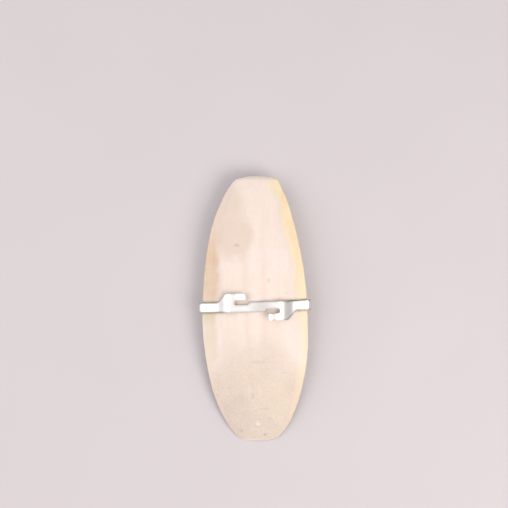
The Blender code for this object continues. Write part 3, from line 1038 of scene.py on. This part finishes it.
def bone_material(shares):
    """The bone's finish. Shares are the names of the numbers kept on its points."""
    material, tree, shader = new_material("cuttlebone_aragonite")
    where = node(tree, "TexCoord", {}, "Object")
    value = {name: node(tree, "Attribute", {}, "Fac", attribute_name=name) for name in shares}
    for name, (size, squeeze, detail, roughness) in BONE_NOISE.items():
        at = node(tree, "Mapping", {"Vector": where, "Scale": (1.0, squeeze, 1.0)})
        inputs = {"Vector": at, "Scale": 1 / (size * MM), "Detail": detail, "Roughness": roughness}
        value[name] = node(tree, "TexNoise", inputs, "Fac")

    # The tan of the tail end comes and goes in patches, and its pores are darker
    start, end = THIN_PATCHES
    inputs = {"Value": value["patches"], 1: start, 2: end, 3: 1.0, 4: THINNEST_TAN}
    thin = node(tree, "MapRange", inputs)
    value["tail"] = node(tree, "Math", {0: value["coarse"], 1: thin}, operation="MULTIPLY")
    darker = PORE_DARKNESS_AT_TAIL - PORE_DARKNESS
    inputs = {0: value["coarse"], 1: darker, 2: PORE_DARKNESS}
    dark = node(tree, "Math", inputs, operation="MULTIPLY_ADD")
    start, end = PORES_SHOW
    pore = node(tree, "MapRange", {"Value": value["pores"], 1: start, 2: end})
    value["speckle"] = node(tree, "Math", {0: pore, 1: dark}, operation="MULTIPLY")

    # The amber of each side is uneven
    for pattern, start, end in AMBER_PATTERNS:
        uneven = node(tree, "MapRange", {"Value": value[pattern], 1: start, 2: end})
        for side in ("left", "right"):
            inputs = {0: uneven, 1: value[side + "_amber"]}
            value[side + "_" + pattern] = node(tree, "Math", inputs, operation="MULTIPLY")

    colour = layered_colour(tree, value, BONE_BASE, BONE_LAYERS)
    tree.links.new(colour, shader.inputs["Base Color"])
    roughness = dulled(tree, value, BONE_ROUGHNESS, BONE_DULLING)
    tree.links.new(roughness, shader.inputs["Roughness"])

    # Growth arcs on the back, and the edges of the chambers' plates on the belly
    inputs = {"W": value["growth"], "Scale": 1 / ARC_SPACING, "Detail": ARC_DETAIL}
    value["arcs"] = node(tree, "TexNoise", inputs, "Fac", noise_dimensions="1D")
    turns = 2 * math.pi / PLATE_SPACING
    phase = node(tree, "Math", {0: value["growth"], 1: turns}, operation="MULTIPLY")
    inputs = {0: value["clouds"], 1: PLATE_WANDER, 2: phase}
    phase = node(tree, "Math", inputs, operation="MULTIPLY_ADD")
    wave = node(tree, "Math", {0: phase}, operation="SINE")
    value["plates"] = node(tree, "Math", {0: wave, 1: value["striae"]}, operation="MULTIPLY")
    height = 0.0
    for follows, everywhere, on_tail in BONE_RELIEF:
        inputs = {0: value["coarse"], 1: on_tail, 2: everywhere}
        amount = node(tree, "Math", inputs, operation="MULTIPLY_ADD")
        inputs = {0: value[follows], 1: amount, 2: height}
        height = node(tree, "Math", inputs, operation="MULTIPLY_ADD")
    normal = node(tree, "Bump", {"Height": height, "Distance": MM, "Strength": 1.0})
    tree.links.new(normal, shader.inputs["Normal"])
    shader.inputs["Subsurface Weight"].default_value = GLOW
    shader.inputs["Subsurface Radius"].default_value = GLOW_DEPTH
    shader.inputs["Subsurface Scale"].default_value = MM
    return material


# Tinned sheet steel, rolled, stamped and bent: bright, with faint rolling lines along the strip, soft
# dents and small scuffs, with painted shade and dark reflection along its edges and a painted darker
# reflection on its middle. Noise in it, as (mm along, mm across, detail)
CLIP_NOISE = {
    "rolled": (20.0, 0.14, 3.0),
    "patches": (3.3, 3.3, 3.0),
    "scuffs": (0.33, 2.5, 5.0),
}
CLIP_BASE = "#f4f2ef"
CLIP_LAYERS = (
    ("patches", 0.35, 0.7, 1.0, "#edebe8"),
    # Painted darker reflection on the flat middle of the strip
    ("darker_reflection", 0.0, 1.0, 0.8, "#cdc7c4"),
    # Painted shade and dark reflection along the strip's edges, darker on the flanks
    ("edge", 0.0, 1.0, 0.35, "#a39d98"),
    ("flank_edge_shade", 0.0, 1.0, 0.75, "#8c857b"),
)
CLIP_ROUGHNESS = 0.35
CLIP_DULLING = (
    ("rolled", 0.25, 0.75, 0.09),
    ("scuffs", 0.55, 0.8, 0.1),
)
CLIP_RELIEF = (("patches", 0.015), ("rolled", 0.0015))
CLIP_RELIEF_STRENGTH = 0.5


def clip_material(shares):
    """The clip's finish. Shares are the names of the numbers kept on its points."""
    material, tree, shader = new_material("tinned_sheet_steel")
    value = {name: node(tree, "Attribute", {}, "Fac", attribute_name=name) for name in shares}
    where = node(tree, "CombineXYZ", {"X": value["strip_x"], "Y": value["strip_y"]})
    for name, (along_strip, across_strip, detail) in CLIP_NOISE.items():
        scale = (1 / along_strip, 1 / across_strip, 1.0)
        at = node(tree, "Mapping", {"Vector": where, "Scale": scale})
        value[name] = node(tree, "TexNoise", {"Vector": at, "Scale": 1.0, "Detail": detail}, "Fac")
    colour = layered_colour(tree, value, CLIP_BASE, CLIP_LAYERS)
    tree.links.new(colour, shader.inputs["Base Color"])
    roughness = dulled(tree, value, CLIP_ROUGHNESS, CLIP_DULLING)
    tree.links.new(roughness, shader.inputs["Roughness"])
    height = 0.0
    for follows, amount in CLIP_RELIEF:
        inputs = {0: value[follows], 1: amount, 2: height}
        height = node(tree, "Math", inputs, operation="MULTIPLY_ADD")
    inputs = {"Height": height, "Distance": MM, "Strength": CLIP_RELIEF_STRENGTH}
    normal = node(tree, "Bump", inputs)
    tree.links.new(normal, shader.inputs["Normal"])
    shader.inputs["Metallic"].default_value = 1.0
    return material


# Painted board: a matt, rolled-on pale coat with the faintest clouds in it
FLOOR_COLOURS = ("#cfc8ca", "#d3cccd")
FLOOR_ROUGHNESS = 0.8


def floor_material():
    material, tree, shader = new_material("painted_board")
    where = node(tree, "TexCoord", {}, "Object")
    cloud = node(tree, "TexNoise", {"Vector": where, "Scale": 1 / (FLOOR_CLOUD * MM)}, "Fac")
    inputs = {0: cloud, 6: linear(FLOOR_COLOURS[0]), 7: linear(FLOOR_COLOURS[1])}
    tree.links.new(node(tree, "Mix", inputs, 2, data_type="RGBA"), shader.inputs["Base Color"])
    shader.inputs["Roughness"].default_value = FLOOR_ROUGHNESS
    return material


def make_floor():
    half = FLOOR_HALF
    corners = [(-half, -half, 0), (half, -half, 0), (half, half, 0), (-half, half, 0)]
    mesh = bpy.data.meshes.new("table_top")
    mesh.from_pydata(corners, [], [(0, 1, 2, 3)])
    mesh.materials.append(floor_material())
    floor = bpy.data.objects.new("table_top", mesh)
    bpy.context.scene.collection.objects.link(floor)


# A soft key from the lower right, a wide fill from the left and a broad ceiling panel, all aimed
# at the bone, as (name, place in metres, size in metres, watts, colour)
LIGHTS = (
    ("key", (0.5, -0.3, 0.7), 0.6, 4.3, "#fffaf4"),
    ("fill", (-0.75, 0.1, 0.65), 1.0, 4.2, "#fbfaff"),
    ("ceiling", (0.0, 0.0, 1.3), 2.0, 5.6, "#ffffff"),
)
ROOM_COLOUR = "#f4f2f4"
ROOM_LIGHT = 0.475


def make_lights():
    for name, place, size, power, colour in LIGHTS:
        data = bpy.data.lights.new(name, "AREA")
        data.size = size
        data.energy = power
        data.color = linear(colour)[:3]
        light = bpy.data.objects.new(name, data)
        light.location = place
        light.rotation_euler = (-Vector(place)).to_track_quat("-Z", "Y").to_euler()
        bpy.context.scene.collection.objects.link(light)
    world = bpy.data.worlds.new("room")
    world.use_nodes = True
    background = world.node_tree.nodes["Background"]
    background.inputs["Color"].default_value = linear(ROOM_COLOUR)
    background.inputs["Strength"].default_value = ROOM_LIGHT
    bpy.context.scene.world = world
    bpy.context.scene.view_settings.view_transform = "Standard"


def make_camera():
    data = bpy.data.cameras.new("camera")
    data.lens = LENS
    data.sensor_width = SENSOR
    camera = bpy.data.objects.new("camera", data)
    camera.location = (CAMERA_X * MM, CAMERA_Y * MM, (SUBJECT_Z + FIELD * LENS / SENSOR) * MM)
    bpy.context.scene.collection.objects.link(camera)
    bpy.context.scene.camera = camera


make_bone()
make_clip()
make_floor()
make_lights()
make_camera()
